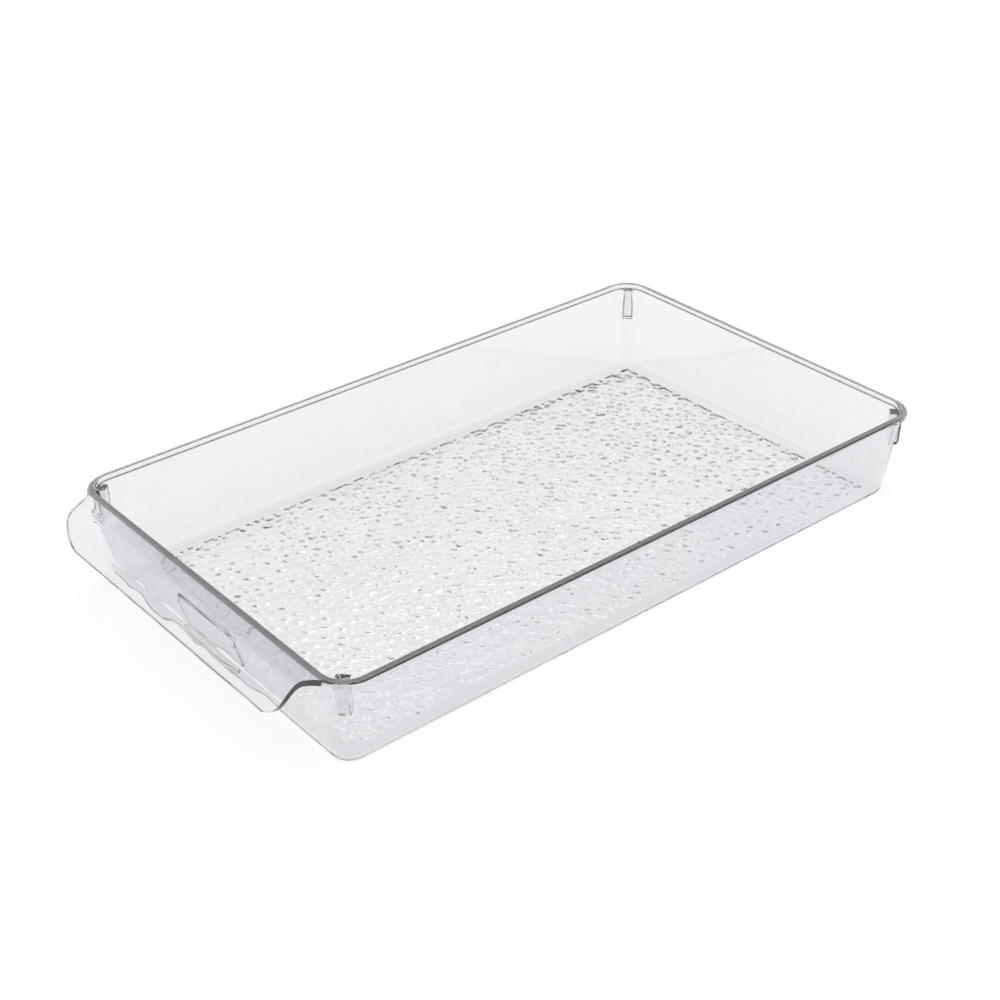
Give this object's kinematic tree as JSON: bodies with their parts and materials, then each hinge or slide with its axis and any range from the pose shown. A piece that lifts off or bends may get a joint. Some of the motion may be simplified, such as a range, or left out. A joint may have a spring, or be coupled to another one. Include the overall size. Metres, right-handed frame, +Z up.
{
  "type": "organizer tray",
  "caption": "Shallow clear plastic organizer tray with leaning walls, a thin rim lip, a pebbled floor and a down-turned pull flap on one end.",
  "frame": {"origin": "centre of the flat underside", "axes": "+Z up, -Y towards the pull flap, +X to the right seen from the flap"},
  "size_m": [0.19, 0.3376, 0.0435],
  "materials": {
    "clear_plastic": "clear, glossy moulded polystyrene with a pebbled floor",
    "label_film": "clear adhesive film, bare"
  },
  "bodies": {
    "root": {"tray_body": "clear_plastic", "front_label": "label_film"}
  },
  "joints": []
}
